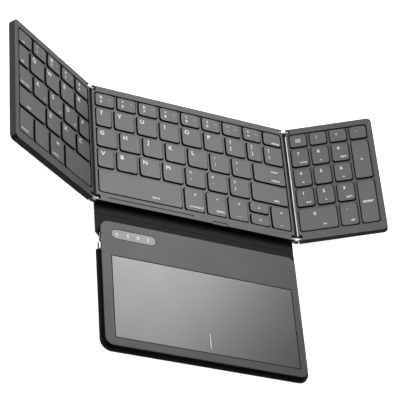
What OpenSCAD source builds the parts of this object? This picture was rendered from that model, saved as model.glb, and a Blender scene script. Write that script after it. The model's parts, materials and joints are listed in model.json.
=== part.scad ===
// Three-panel folding keyboard with a touchpad flap.
// The middle panel lies flat; a wing on each side swings on two-pin links, and the touchpad panel
// hangs on a soft cover that creases along the middle panel's front edge and folds over the stack.
// X runs along the key rows, Y towards the back, Z up from the table.

/* [Key layout] */
// Width of one letter key with its share of the web
pitch_x = 18; // [17:0.5:19]
// Depth of one letter row with its share of the web
pitch_y = 18.2; // [17:0.2:19]
// Depth of the number row with its share of the web
top_row_d = 13.8; // [13:0.1:15.5]
// Depth of the space bar row with its share of the web
bottom_row_d = 21.6; // [20.5:0.1:23]
// Width of one number pad key with its share of the web
pad_pitch_x = 15.2; // [14.6:0.1:15.4]
// Width of the middle panel's key field
center_field_w = 154.6; // [154:0.1:158]
// Width of the left panel's key field
left_field_w = 85.2; // [83:0.1:86]
// Width of the web between two key openings
web = 1.3; // [1:0.1:1.6]
// Air between a key cap and its opening
cap_gap = 0.6; // [0.4:0.05:0.8]
// Corner radius of a key opening
key_corner = 2.2; // [1.6:0.1:2.6]
// Height of a key cap
cap_t = 1.5; // [1.4:0.05:1.5]
// Depth of a key cap's top below the panel's rim
cap_sink = 0.1; // [0:0.05:0.1]
// Travel of a key
key_travel = 1.2; // [0.8:0.1:1.2]

/* [Panels] */
// Thickness of each key panel
panel_t = 5; // [4.8:0.1:6]
// Thickness of the key frame on top of a panel
frame_t = 1.4; // [1.2:0.1:1.6]
// Depth of the key field's web below the panel's rim
web_drop = 1.2; // [0.8:0.1:1.3]
// Thickness of the web
web_t = 1; // [0.8:0.05:1]
// Margin behind the number row
back_margin = 5.4; // [5.4:0.1:8]
// Margin in front of the space bar row
front_margin = 7; // [5.6:0.1:9]
// Rim between a key field and a hinged edge
hinge_rim = 1.9; // [1.6:0.1:3]
// Rim at the outer edge of a wing
outer_rim = 4.2; // [3:0.1:4.8]
// Corner radius of the panels' outer corners
panel_corner = 3.6; // [2:0.1:4]
// Wall of the panel cases
case_wall = 1.2; // [0.8:0.1:1.4]
// Floor of the panel cases
case_floor = 0.8; // [0.6:0.1:1]
// Angle by which the left wing is raised
left_angle = 33; // [0:1:60]
// Angle by which the right wing is raised
right_angle = 34; // [0:1:60]

/* [Hinges] */
// Depth of the link axes below the top face
axis_drop = 2.55; // [2.4:0.05:2.6]
// Distance of a link pin from its panel's edge
pin_inset = 1; // [0.9:0.05:1.1]
// Radius of a link pin
pin_r = 0.6; // [0.5:0.05:0.7]
// Radius of a link's round ends
link_r = 1.7; // [1.5:0.05:1.8]
// Width of a link along its pins
link_w = 3; // [2.6:0.1:3.1]
// Wall between a link and the panel's end
link_wall = 0.9; // [0.7:0.05:1]
// Running clearance of a pin in its link
pin_play = 0.05; // [0.02:0.01:0.1]
// Air around a link in its pocket
link_air = 0.2; // [0.15:0.05:0.25]
// Air between the faces of folded panels
face_air = 0.8; // [0.6:0.1:1.2]
// Thickness of the web plate between the two links of a hinge
web_plate_t = 0.4; // [0.3:0.05:0.5]

/* [Touchpad panel] */
// Depth of the touchpad panel
touch_d = 97.3; // [94:0.1:97.3]
// Thickness of the touchpad panel
touch_t = 4.2; // [4.1:0.1:5.5]
// Corner radius of the touchpad panel
touch_corner = 6; // [4:0.5:8]
// Wall of the touchpad case
touch_wall = 1.4; // [1:0.1:1.8]
// Floor of the touchpad case
touch_floor = 0.7; // [0.5:0.05:0.8]
// Thickness of the touchpad panel's top plate
plate_t = 1; // [0.8:0.05:1.1]
// Width of the touch surface
surface_w = 139.9; // [136:0.1:141]
// Depth of the touch surface
surface_d = 64.6; // [60:0.1:66]
// Distance of the touch surface from the panel's left edge
surface_left = 6.7; // [5:0.1:8]
// Distance of the touch surface from the panel's front edge
surface_front = 5.4; // [4:0.1:7]
// Thickness of the touch surface
surface_t = 0.6; // [0.5:0.05:0.7]
// Length of the status window
window_l = 34; // [30:0.5:46]
// Width of the status window
window_w = 8; // [7:0.1:9.5]
// Distance of the status window from the left edge
window_left = 7.5; // [7:0.5:14]
// Distance of the status window's middle line from the back edge
window_back = 9.5; // [8:0.5:15]
// Distance of the charging socket's middle from the back edge
socket_back = 12.3; // [10:0.1:12.5]
// Distance of the power switch's middle from the back edge
switch_back = 20.8; // [20.6:0.1:30]
// Travel of the power switch
switch_travel = 1.6; // [1.4:0.1:2]

/* [Soft cover] */
// Thickness of the cover
cover_t = 1; // [0.8:0.1:1.4]
// Width by which the cover shows beside the touchpad panel
cover_side = 2.55; // [1.5:0.05:3]
// Width by which the cover shows in front of the touchpad panel
cover_front = 3; // [1.5:0.1:3]
// Height of the rubber feet
foot_h = 0.8; // [0.5:0.1:1.5]
// Radius of the rubber feet
foot_r = 4; // [3:0.1:5]
// Air between stacked panels when closed
stack_air = 0.3; // [0.2:0.05:0.5]

/* [Hidden] */

seat = 0.05;               // air between parts that are laid in a pocket
past = 1;                  // how far a cut runs past a face
arc_steps = 4;             // straight pieces in a key's corner
outline_steps = 10;        // straight pieces in a panel's corner
plate_sheet_t = 0.4;       // steel sheet under the keys
membrane_t = 0.3;          // switch membrane
dome_h = 1.2;
dome_base_r = 2.2;
dome_top_r = 1.4;
scissor_w = 9;
scissor_d = 6.8;
scissor_bar = 0.7;
scissor_t = 0.6;
cap_wall = 0.8;            // wall and top of a key cap
screw_r = 1.2;
screw_h = 0.6;
well_edge = 0.25;          // web around the outermost keys
tray_wall = 0.25;          // wall between the web and the rim
screw_edge = 8;            // screws from the panels' ends
groove_depth = 0.5;        // finger groove in the middle panel's front rim
bar_wall = 0.5;            // between a link pocket and the inside of a case
pin_end = 0.1;             // from a pin's end to the inside of a case
link_t = 2.6;              // link between its round ends
web_plate_h = 2.4;
steel_inset = 0.2;
membrane_inset = 0.4;
fine = 48;

rows_d = [top_row_d, pitch_y, pitch_y, pitch_y, bottom_row_d];
field_d = top_row_d + 3 * pitch_y + bottom_row_d - web;
panel_d = back_margin + field_d + front_margin;
center_keys_w = center_field_w - web;
left_keys_w = left_field_w - web;
right_keys_w = 4 * pad_pitch_x - web;
center_w = center_keys_w + 2 * hinge_rim;
left_w = left_keys_w + hinge_rim + outer_rim;
right_w = right_keys_w + hinge_rim + outer_rim;
case_t = panel_t - frame_t;
web_z = panel_t - web_drop - web_t;                      // underside of the web
base_z = foot_h + cover_t;
axis_h = panel_t - axis_drop;                            // link axes above a panel's underside
link_l = 2 * axis_drop + face_air;                       // between a link's two axes
pocket_l = link_wall + link_w + 2 * link_air;            // end of a link pocket, from the panel's end
bar_d = pocket_l + bar_wall;                             // solid bar that holds the pins
stack_h = 2 * panel_t + face_air + stack_air + touch_t;  // closed panels, cover not counted
crease_air = 0.3;
crease_y = -panel_d / 2 - crease_air;                    // crease at the middle panel
flap_y = crease_y - stack_h;                             // crease at the touchpad panel
touch_w = center_w - 2 * cover_side;                     // the cover is as wide as the middle panel
surface_back = touch_d - surface_front - surface_d;
interior_h = touch_t - touch_floor - plate_t;

// --- key layout -------------------------------------------------------------------------------

function total(list, count) = count == 0 ? 0 : list[count - 1] + total(list, count - 1);

// widths of a row's keys: the last key takes what is left of the field
function row_widths(units, field) =
  concat([for (u = units) u * pitch_x], [field - pitch_x * total(units, len(units))]);

// openings of one row as [left, back, right, front], from the field's back left corner
function row_openings(widths, row) = [
  for (i = [0 : len(widths) - 1])
    [total(widths, i), total(rows_d, row), total(widths, i + 1) - web, total(rows_d, row + 1) - web]
];

function even_units(count, field) = [for (i = [1 : count - 1]) field / count / pitch_x];

center_space_unit = 3.7;
center_arrow_unit = 0.98;
function center_units(row) = [
  even_units(9, center_field_w),
  [0.8, 1, 1, 1, 1, 1, 1, 0.8],
  [1, 1, 1, 1, 1, 1, 1],
  [0.82, 1, 1, 1, 1, 1, 1],
  [center_space_unit, center_arrow_unit, center_arrow_unit, center_arrow_unit, center_arrow_unit]
][row];
function left_units(row) = [
  even_units(5, left_field_w),
  [0.745, 1, 1, 1],
  [0.94, 1, 1, 1],
  [1.745, 1, 1],
  [0.953, 0.983, 0.983]
][row];

// the up and down keys share one place: its opening is parted by a web
arrow_index = 4;
function parted(list, index) = [
  for (i = [0 : len(list) - 1])
    for (half = i == index ? [0, 1] : [0])
      let (k = list[i], middle = (k[1] + k[3]) / 2)
        i != index ? k
        : half == 0 ? [k[0], k[1], k[2], middle - web / 2]
        : [k[0], middle + web / 2, k[2], k[3]]
];

function center_row(row) =
  let (list = row_openings(row_widths(center_units(row), center_field_w), row))
    row == 4 ? parted(list, arrow_index) : list;
function left_row(row) = row_openings(row_widths(left_units(row), left_field_w), row);

// number pad: keys as [column, columns, row, rows]
function right_keys(group) = [
  [[0, 1, 0, 1], [1, 1, 0, 1], [2, 1, 0, 1], [3, 1, 0, 1]],
  [[0, 1, 1, 1], [1, 1, 1, 1], [2, 1, 1, 1]],
  [[0, 1, 2, 1], [1, 1, 2, 1], [2, 1, 2, 1]],
  [[0, 1, 3, 1], [1, 1, 3, 1], [2, 1, 3, 1]],
  [[0, 2, 4, 1], [2, 1, 4, 1]],
  [[3, 1, 1, 2], [3, 1, 3, 2]]
][group];
function right_row(group) = [
  for (k = right_keys(group))
    [k[0] * pad_pitch_x, total(rows_d, k[2]), (k[0] + k[1]) * pad_pitch_x - web,
      total(rows_d, k[2] + k[3]) - web]
];

center_all = [for (row = [0 : 4]) each center_row(row)];
left_all = [for (row = [0 : 4]) each left_row(row)];
right_all = [for (group = [0 : 5]) each right_row(group)];

// --- outlines ---------------------------------------------------------------------------------

function arc(x, y, r, start, steps) = [
  for (i = [0 : steps]) [x + r * cos(start + 90 * i / steps), y + r * sin(start + 90 * i / steps)]
];

// rectangle from low corner to high corner; the radii go back right, back left, front left, front right
function outline(x0, y0, x1, y1, r, steps) = concat(
  arc(x1 - r[0], y1 - r[0], r[0], 0, steps),
  arc(x0 + r[1], y1 - r[1], r[1], 90, steps),
  arc(x0 + r[2], y0 + r[2], r[2], 180, steps),
  arc(x1 - r[3], y0 + r[3], r[3], 270, steps)
);

// a key's outline, drawn in by a gap, for a field whose back left corner is at x, y
module key_shape(key, x, y, gap, corner) {
  r = corner - gap;
  polygon(outline(x + key[0] + gap, y - key[3] + gap, x + key[2] - gap, y - key[1] - gap,
    [r, r, r, r], arc_steps));
}

// a panel's outline from its back left corner; a hinged side has small corners
module panel_shape(w, left_r, right_r, inset = 0) {
  polygon(outline(inset, -panel_d + inset, w - inset, -inset,
    [right_r, left_r, left_r, right_r], outline_steps));
}

hinge_corner = 0.6;

// --- parts shared by the three key panels -----------------------------------------------------

// pockets for the links at a hinged edge: x is the edge, side points out of the panel
module link_pockets(x, side) {
  reach = pin_inset + link_r + link_air;
  for (y = [-link_wall, -panel_d + pocket_l])
    translate([side > 0 ? x - reach : x - past, y - pocket_l + link_wall, axis_h - link_r - link_air])
      cube([reach + past, pocket_l - link_wall, panel_t]);
}

// the pins end flush with the panel's ends
module pin_row(x, side) {
  for (y = [-bar_d + pin_end, -panel_d])
    translate([x - side * pin_inset, y, axis_h])
      rotate([-90, 0, 0])
        cylinder(r = pin_r, h = bar_d - pin_end, $fn = fine);
}

// sides lists the hinged edges as [x, side]
module panel_case(w, left_r, right_r, sides) {
  difference() {
    linear_extrude(case_t) panel_shape(w, left_r, right_r);
    translate([case_wall, -panel_d + bar_d, case_floor])
      cube([w - 2 * case_wall, panel_d - 2 * bar_d, case_t]);
    translate([2 * bar_d, -panel_d + case_wall, case_floor])
      cube([w - 4 * bar_d, panel_d - 2 * case_wall, case_t]);
    for (s = sides) {
      link_pockets(s[0], s[1]);
      pin_row(s[0], s[1]);
    }
    screw_row(w, screw_h, 0);
  }
}

// the key field's web lies in a tray that hangs from the rim
module panel_frame(w, left_r, right_r, sides, field_x, field_w, keys) {
  difference() {
    union() {
      translate([0, 0, case_t])
        linear_extrude(frame_t)
          difference() {
            panel_shape(w, left_r, right_r);
            for (s = sides)
              frame_pockets(s[0], s[1]);
          }
      translate([0, 0, web_z])
        linear_extrude(panel_t - web_z)
          well_shape(field_x, field_w, well_edge + tray_wall);
    }
    translate([0, 0, web_z + web_t])
      linear_extrude(web_drop + past)
        well_shape(field_x, field_w, well_edge);
    translate([0, 0, web_z - past])
      linear_extrude(web_t + 2 * past)
        for (k = keys)
          key_shape(k, field_x, -back_margin, 0, key_corner);
  }
}

module well_shape(field_x, field_w, edge) {
  r = key_corner + edge;
  front = -back_margin - field_d - edge;
  back = -back_margin + edge;
  polygon(outline(field_x - edge, front, field_x + field_w + edge, back, [r, r, r, r], arc_steps));
}

module frame_pockets(x, side) {
  reach = pin_inset + link_r + link_air;
  for (y = [-pocket_l, -panel_d + link_wall])
    translate([side > 0 ? x - reach : x - past, y])
      square([reach + past, pocket_l - link_wall]);
}

// sheets and switch parts lie in the pocket of the case
module panel_sheet(w, z, t, inset) {
  translate([case_wall + inset, -panel_d + bar_d + inset, z])
    cube([w - 2 * case_wall - 2 * inset, panel_d - 2 * bar_d - 2 * inset, t]);
}

module panel_steel(w) {
  panel_sheet(w, case_floor, plate_sheet_t, steel_inset);
}

module panel_membrane(w) {
  panel_sheet(w, case_floor + plate_sheet_t, membrane_t, membrane_inset);
}

sheet_top = case_floor + plate_sheet_t + membrane_t;

module panel_domes(field_x, keys) {
  for (k = keys)
    translate([field_x + (k[0] + k[2]) / 2, -back_margin - (k[1] + k[3]) / 2, sheet_top])
      cylinder(r1 = dome_base_r, r2 = dome_top_r, h = dome_h, $fn = fine);
}

module panel_scissors(field_x, keys) {
  for (k = keys)
    translate([field_x + (k[0] + k[2]) / 2, -back_margin - (k[1] + k[3]) / 2, sheet_top])
      difference() {
        translate([-scissor_w / 2, -scissor_d / 2, 0])
          cube([scissor_w, scissor_d, scissor_t]);
        translate([-scissor_w / 2 + scissor_bar, -scissor_d / 2 + scissor_bar, -past])
          cube([scissor_w - 2 * scissor_bar, scissor_d - 2 * scissor_bar, scissor_t + 2 * past]);
      }
}

// key caps, hollow underneath
module key_caps(field_x, keys) {
  for (k = keys)
    translate([0, 0, panel_t - cap_sink - cap_t])
      difference() {
        linear_extrude(cap_t)
          key_shape(k, field_x, -back_margin, cap_gap, key_corner);
        let (rim = cap_gap + cap_wall)
          translate([field_x + k[0] + rim, -back_margin - k[3] + rim, -past])
            cube([k[2] - k[0] - 2 * rim, k[3] - k[1] - 2 * rim, past + cap_t - cap_wall]);
      }
}

// screw heads sunk into the underside, or their seats
module screw_row(w, h, z) {
  for (x = [screw_edge, w - screw_edge])
    for (y = [-panel_d + screw_edge, -screw_edge])
      translate([x, y, z])
        cylinder(r = screw_r, h = h, $fn = fine);
}

// --- places -----------------------------------------------------------------------------------

module in_center() {
  translate([-center_w / 2, panel_d / 2, base_z]) children();
}

// a link's frame has its first axis at the origin and its second at side * link_l
module in_link(side) {
  translate([side * (center_w / 2 - pin_inset), 0, base_z + axis_h])
    rotate([0, -side * (side < 0 ? left_angle : right_angle) / 2, 0]) children();
}

module in_left() {
  in_link(-1)
    translate([-link_l, 0, 0])
      rotate([0, left_angle / 2, 0])
        translate([pin_inset - left_w, panel_d / 2, -axis_h]) children();
}

module in_right() {
  in_link(1)
    translate([link_l, 0, 0])
      rotate([0, -right_angle / 2, 0])
        translate([-pin_inset, panel_d / 2, -axis_h]) children();
}

// the touchpad panel's back left corner, on the cover
module in_touch() {
  translate([-touch_w / 2, flap_y - crease_air, base_z]) children();
}

center_sides = [[0, -1], [center_w, 1]];
left_sides = [[left_w, 1]];
right_sides = [[0, -1]];
center_x = hinge_rim;
left_x = outer_rim;
right_x = hinge_rim;

// --- middle panel -----------------------------------------------------------------------------

module center_case() {
  color([0.16, 0.16, 0.17]) in_center()
    panel_case(center_w, hinge_corner, hinge_corner, center_sides);
}

// the long groove lies under the space bar, the short notch beside it
groove_left = 7;
groove_front = 1.4;
groove_l = 66;
groove_d = 2.2;
notch_left = 88;
notch_l = 12;

module center_frame() {
  color([0.45, 0.45, 0.46]) in_center()
    difference() {
      panel_frame(center_w, hinge_corner, hinge_corner, center_sides, center_x, center_keys_w,
        center_all);
      translate([center_x + groove_left, -panel_d + groove_front, panel_t - groove_depth])
        cube([groove_l, groove_d, groove_depth + past]);
      translate([center_x + notch_left, -panel_d - past, panel_t - groove_depth])
        cube([notch_l, groove_d + past, groove_depth + past]);
    }
}

module center_plate() {
  color([0.7, 0.71, 0.72]) in_center() panel_steel(center_w);
}

module center_membrane() {
  color([0.75, 0.78, 0.72]) in_center() panel_membrane(center_w);
}

module center_domes() {
  color([0.85, 0.85, 0.82]) in_center() panel_domes(center_x, center_all);
}

module center_scissors() {
  color([0.9, 0.9, 0.9]) in_center() panel_scissors(center_x, center_all);
}

module center_number_keys() {
  color([0.53, 0.53, 0.54]) in_center() key_caps(center_x, center_row(0));
}

module center_upper_keys() {
  color([0.53, 0.53, 0.54]) in_center() key_caps(center_x, center_row(1));
}

module center_home_keys() {
  color([0.53, 0.53, 0.54]) in_center() key_caps(center_x, center_row(2));
}

module center_lower_keys() {
  color([0.53, 0.53, 0.54]) in_center() key_caps(center_x, center_row(3));
}

module center_space_keys() {
  color([0.53, 0.53, 0.54]) in_center() key_caps(center_x, center_row(4));
}

module center_pins() {
  color([0.8, 0.81, 0.83]) in_center()
    for (s = center_sides)
      pin_row(s[0], s[1]);
}

module center_screws() {
  color([0.6, 0.6, 0.62]) in_center() screw_row(center_w, screw_h, 0);
}

module center_cover() {
  color([0.13, 0.13, 0.14])
    translate([-center_w / 2, panel_d / 2, foot_h])
      linear_extrude(cover_t)
        panel_shape(center_w, hinge_corner, hinge_corner);
}

foot_edge = 10;
module foot_pads(w, d, y) {
  for (x = [-w / 2 + foot_edge, w / 2 - foot_edge])
    for (back = [y - foot_edge, y - d + foot_edge])
      translate([x, back, 0])
        cylinder(r = foot_r, h = foot_h, $fn = fine);
}

// the foot in the middle keeps the thin panel from bending under the keys
module center_feet() {
  color([0.1, 0.1, 0.1]) {
    foot_pads(center_w, panel_d, panel_d / 2);
    cylinder(r = foot_r, h = foot_h, $fn = fine);
  }
}

// --- hinge links ------------------------------------------------------------------------------

module link_pair(side) {
  for (y = [panel_d / 2 - link_wall - link_air - link_w, -panel_d / 2 + link_wall + link_air])
    translate([0, y, 0])
      difference() {
        union() {
          for (x = [0, side * link_l])
            translate([x, 0, 0])
              rotate([-90, 0, 0])
                cylinder(r = link_r, h = link_w, $fn = fine);
          translate([side > 0 ? 0 : -link_l, 0, -link_t / 2])
            cube([link_l, link_w, link_t]);
        }
        for (x = [0, side * link_l])
          translate([x, -past, 0])
            rotate([-90, 0, 0])
              cylinder(r = pin_r + pin_play, h = link_w + 2 * past, $fn = fine);
      }
}

// thin plate that joins the two links along the gap
module link_plate(side) {
  half = panel_d / 2 - link_wall - link_air - link_w;
  translate([side * link_l / 2 - web_plate_t / 2, -half, -web_plate_h / 2])
    cube([web_plate_t, 2 * half, web_plate_h]);
}

module left_links() {
  color([0.85, 0.86, 0.88]) in_link(-1) link_pair(-1);
}

module left_hinge_plate() {
  color([0.2, 0.2, 0.21]) in_link(-1) link_plate(-1);
}

module right_links() {
  color([0.85, 0.86, 0.88]) in_link(1) link_pair(1);
}

module right_hinge_plate() {
  color([0.2, 0.2, 0.21]) in_link(1) link_plate(1);
}

// --- left wing --------------------------------------------------------------------------------

module left_case() {
  color([0.16, 0.16, 0.17]) in_left()
    panel_case(left_w, panel_corner, hinge_corner, left_sides);
}

module left_frame() {
  color([0.42, 0.41, 0.43]) in_left()
    panel_frame(left_w, panel_corner, hinge_corner, left_sides, left_x, left_keys_w, left_all);
}

module left_plate() {
  color([0.7, 0.71, 0.72]) in_left() panel_steel(left_w);
}

module left_membrane() {
  color([0.75, 0.78, 0.72]) in_left() panel_membrane(left_w);
}

module left_domes() {
  color([0.85, 0.85, 0.82]) in_left() panel_domes(left_x, left_all);
}

module left_scissors() {
  color([0.9, 0.9, 0.9]) in_left() panel_scissors(left_x, left_all);
}

module left_number_keys() {
  color([0.43, 0.42, 0.44]) in_left() key_caps(left_x, left_row(0));
}

module left_upper_keys() {
  color([0.43, 0.42, 0.44]) in_left() key_caps(left_x, left_row(1));
}

module left_home_keys() {
  color([0.43, 0.42, 0.44]) in_left() key_caps(left_x, left_row(2));
}

module left_lower_keys() {
  color([0.43, 0.42, 0.44]) in_left() key_caps(left_x, left_row(3));
}

module left_space_keys() {
  color([0.43, 0.42, 0.44]) in_left() key_caps(left_x, left_row(4));
}

module left_pins() {
  color([0.8, 0.81, 0.83]) in_left() pin_row(left_w, 1);
}

module left_screws() {
  color([0.6, 0.6, 0.62]) in_left() screw_row(left_w, screw_h, 0);
}

// --- right wing -------------------------------------------------------------------------------

module right_case() {
  color([0.16, 0.16, 0.17]) in_right()
    panel_case(right_w, hinge_corner, panel_corner, right_sides);
}

module right_frame() {
  color([0.45, 0.46, 0.46]) in_right()
    panel_frame(right_w, hinge_corner, panel_corner, right_sides, right_x, right_keys_w, right_all);
}

module right_plate() {
  color([0.7, 0.71, 0.72]) in_right() panel_steel(right_w);
}

module right_membrane() {
  color([0.75, 0.78, 0.72]) in_right() panel_membrane(right_w);
}

module right_domes() {
  color([0.85, 0.85, 0.82]) in_right() panel_domes(right_x, right_all);
}

module right_scissors() {
  color([0.9, 0.9, 0.9]) in_right() panel_scissors(right_x, right_all);
}

module right_operator_keys() {
  color([0.49, 0.51, 0.51]) in_right() key_caps(right_x, right_row(0));
}

module right_789_keys() {
  color([0.49, 0.51, 0.51]) in_right() key_caps(right_x, right_row(1));
}

module right_456_keys() {
  color([0.49, 0.51, 0.51]) in_right() key_caps(right_x, right_row(2));
}

module right_123_keys() {
  color([0.49, 0.51, 0.51]) in_right() key_caps(right_x, right_row(3));
}

module right_zero_keys() {
  color([0.49, 0.51, 0.51]) in_right() key_caps(right_x, right_row(4));
}

module right_tall_keys() {
  color([0.49, 0.51, 0.51]) in_right() key_caps(right_x, right_row(5));
}

module right_pins() {
  color([0.8, 0.81, 0.83]) in_right() pin_row(0, -1);
}

module right_screws() {
  color([0.6, 0.6, 0.62]) in_right() screw_row(right_w, screw_h, 0);
}

// --- soft cover -------------------------------------------------------------------------------

module spine_cover() {
  color([0.14, 0.14, 0.15])
    translate([-center_w / 2, flap_y, foot_h])
      cube([center_w, stack_h, cover_t]);
}

notch_under = 0.2;         // how far the cover's notch reaches below the panel
notch_d = 15;
notch_inner_d = 9;
notch_back = 15;           // notch's middle from the panel's back edge
crease_corner = 0.2;

// the cover is cut away beside the socket
module touch_cover() {
  flap_d = touch_d + crease_air + cover_front;
  r = touch_corner + cover_side;
  color([0.14, 0.14, 0.15])
    translate([-center_w / 2, flap_y, foot_h])
      linear_extrude(cover_t)
        difference() {
          polygon(outline(0, -flap_d, center_w, 0, [crease_corner, crease_corner, r, r], outline_steps));
          translate([0, -crease_air - notch_back])
            polygon([[-past, notch_d / 2], [0, notch_d / 2], [cover_side + notch_under, notch_inner_d / 2],
              [cover_side + notch_under, -notch_inner_d / 2], [0, -notch_d / 2], [-past, -notch_d / 2]]);
        }
}

module touch_feet() {
  color([0.1, 0.1, 0.1]) foot_pads(touch_w, touch_d, flap_y - crease_air);
}

// --- touchpad panel ---------------------------------------------------------------------------

socket_w = 8.9;
socket_h = 2.9;
socket_l = 6.8;
socket_z = 0.4;
socket_sink = 0.2;
socket_slot_w = 8.3;
socket_slot_h = 2.3;
switch_l = 4.6;
switch_h = 1.1;
switch_end = 0.3;          // from the slider to the end of its slot
switch_slot_l = switch_l + switch_travel + 2 * switch_end;
switch_slot_h = 1.4;
switch_rise = 0.3;         // slot above the case's floor
switch_out = 0.8;
switch_in = 2.2;

module touch_shape(inset = 0) {
  r = touch_corner - inset;
  polygon(outline(inset, -touch_d + inset, touch_w - inset, -inset, [r, r, r, r], outline_steps));
}

// the socket's shell lies along X with its mouth at the left wall
module socket_block(grow) {
  translate([-past, -socket_back - socket_w / 2 - grow, socket_z - grow])
    cube([socket_l + past + grow, socket_w + 2 * grow, socket_h + 2 * grow]);
}

module switch_slot() {
  translate([-past, -switch_back - switch_slot_l / 2, touch_floor + switch_rise])
    cube([touch_wall + 2 * past, switch_slot_l, switch_slot_h]);
}

module touch_case() {
  color([0.11, 0.11, 0.12]) in_touch()
    difference() {
      linear_extrude(touch_t - plate_t) touch_shape();
      translate([0, 0, touch_floor]) linear_extrude(touch_t) touch_shape(touch_wall);
      socket_block(seat);
      switch_slot();
    }
}

module touch_plate() {
  color([0.4, 0.4, 0.41]) in_touch()
    difference() {
      translate([0, 0, touch_t - plate_t]) linear_extrude(plate_t) touch_shape();
      translate([surface_left, -surface_back - surface_d, touch_t - surface_t])
        cube([surface_w, surface_d, surface_t + past]);
      translate([window_left + window_w / 2, -window_back, touch_t - plate_t - past])
        linear_extrude(plate_t + 2 * past) window_shape(0);
      socket_block(seat);
    }
}

module window_shape(inset) {
  r = window_w / 2 - inset;
  for (x = [0, window_l - window_w])
    translate([x, 0]) circle(r = r, $fn = fine);
  translate([0, -r]) square([window_l - window_w, 2 * r]);
}

surface_sink = 0.1;
module touch_surface() {
  color([0.6, 0.6, 0.61]) in_touch()
    translate([surface_left + seat, -surface_back - surface_d + seat, touch_t - surface_t])
      cube([surface_w - 2 * seat, surface_d - 2 * seat, surface_t - surface_sink]);
}

board_t = 0.8;
board_edge = 4;            // board inside the touch surface's outline
module touch_board() {
  color([0.1, 0.25, 0.18]) in_touch()
    translate([surface_left, -surface_back - surface_d, touch_t - plate_t - board_t])
      translate([board_edge, board_edge, 0])
        cube([surface_w - 2 * board_edge, surface_d - 2 * board_edge, board_t]);
}

battery_w = 62;
battery_d = 38;
battery_air = 0.1;
module battery() {
  color([0.72, 0.73, 0.75]) in_touch()
    translate([(touch_w - battery_w) / 2, -surface_back - (surface_d + battery_d) / 2, touch_floor])
      cube([battery_w, battery_d, interior_h - board_t - battery_air]);
}

main_board_w = 70;
main_board_d = 15;
main_board_gap = 0.6;      // from the board to the socket and to the back wall
module main_board() {
  color([0.1, 0.28, 0.2]) in_touch()
    translate([socket_l + main_board_gap, -touch_wall - main_board_gap - main_board_d, touch_floor])
      cube([main_board_w, main_board_d, board_t]);
}

window_sink = 0.1;
module status_window() {
  color([0.72, 0.72, 0.72]) in_touch()
    translate([window_left + window_w / 2, -window_back, touch_t - plate_t])
      linear_extrude(plate_t - window_sink) window_shape(seat);
}

lamp_count = 4;
lamp_w = 1.6;
lamp_d = 0.8;
lamp_air = 0.2;
module status_lamps() {
  step = (window_l - window_w) / (lamp_count - 1);
  color([0.95, 0.95, 0.9]) in_touch()
    for (i = [0 : lamp_count - 1])
      translate([window_left + window_w / 2 + i * step, -window_back, touch_floor + board_t])
        translate([-lamp_w / 2, -lamp_d / 2, 0])
          cube([lamp_w, lamp_d, interior_h - board_t - lamp_air]);
}

module charging_socket() {
  color([0.78, 0.78, 0.8]) in_touch()
    difference() {
      translate([socket_sink, -socket_back - socket_w / 2, socket_z])
        cube([socket_l - socket_sink, socket_w, socket_h]);
      translate([-past, -socket_back - socket_slot_w / 2, socket_z + (socket_h - socket_slot_h) / 2])
        cube([socket_l, socket_slot_w, socket_slot_h]);
    }
}

module power_switch() {
  color([0.8, 0.8, 0.8]) in_touch()
    translate([-switch_out, -switch_back + switch_slot_l / 2 - switch_end - switch_l,
      touch_floor + switch_rise + (switch_slot_h - switch_h) / 2])
      cube([switch_out + switch_in, switch_l, switch_h]);
}

// --- output -----------------------------------------------------------------------------------

center_case();
center_frame();
center_plate();
center_membrane();
center_domes();
center_scissors();
center_number_keys();
center_upper_keys();
center_home_keys();
center_lower_keys();
center_space_keys();
center_pins();
center_screws();
center_cover();
center_feet();
left_links();
left_hinge_plate();
right_links();
right_hinge_plate();
left_case();
left_frame();
left_plate();
left_membrane();
left_domes();
left_scissors();
left_number_keys();
left_upper_keys();
left_home_keys();
left_lower_keys();
left_space_keys();
left_pins();
left_screws();
right_case();
right_frame();
right_plate();
right_membrane();
right_domes();
right_scissors();
right_operator_keys();
right_789_keys();
right_456_keys();
right_123_keys();
right_zero_keys();
right_tall_keys();
right_pins();
right_screws();
spine_cover();
touch_cover();
touch_feet();
touch_case();
touch_plate();
touch_surface();
touch_board();
battery();
main_board();
status_window();
status_lamps();
charging_socket();
power_switch();
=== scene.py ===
import json
import math

import bmesh
import bpy
from mathutils import Euler, Matrix, Vector


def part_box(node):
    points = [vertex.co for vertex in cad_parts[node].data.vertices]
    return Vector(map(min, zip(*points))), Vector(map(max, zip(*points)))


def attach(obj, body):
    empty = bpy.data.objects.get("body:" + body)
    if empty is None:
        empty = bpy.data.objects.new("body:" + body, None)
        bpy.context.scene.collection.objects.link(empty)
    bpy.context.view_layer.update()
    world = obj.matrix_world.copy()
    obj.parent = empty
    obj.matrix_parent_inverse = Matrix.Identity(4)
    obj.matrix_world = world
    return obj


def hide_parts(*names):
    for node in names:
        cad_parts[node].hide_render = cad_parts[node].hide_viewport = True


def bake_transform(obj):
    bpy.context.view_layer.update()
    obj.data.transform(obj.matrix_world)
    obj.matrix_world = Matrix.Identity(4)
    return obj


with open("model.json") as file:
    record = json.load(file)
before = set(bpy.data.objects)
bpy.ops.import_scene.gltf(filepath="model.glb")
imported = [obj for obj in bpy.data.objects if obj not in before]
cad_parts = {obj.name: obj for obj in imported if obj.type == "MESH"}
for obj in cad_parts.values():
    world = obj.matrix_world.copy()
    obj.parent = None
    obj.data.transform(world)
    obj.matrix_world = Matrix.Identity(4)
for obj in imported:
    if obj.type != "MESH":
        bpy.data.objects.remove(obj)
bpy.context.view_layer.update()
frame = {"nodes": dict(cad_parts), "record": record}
nodes = frame["nodes"]
mm = 0.001


# camera, floor and light

viewSet = {
    "place": (-465.81, -701.92, 864.55),    # mm from the middle of the keyboard
    "turn": (36.521, -25.709, -4.606),      # degrees
    "lens": 148.59,
}


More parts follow.
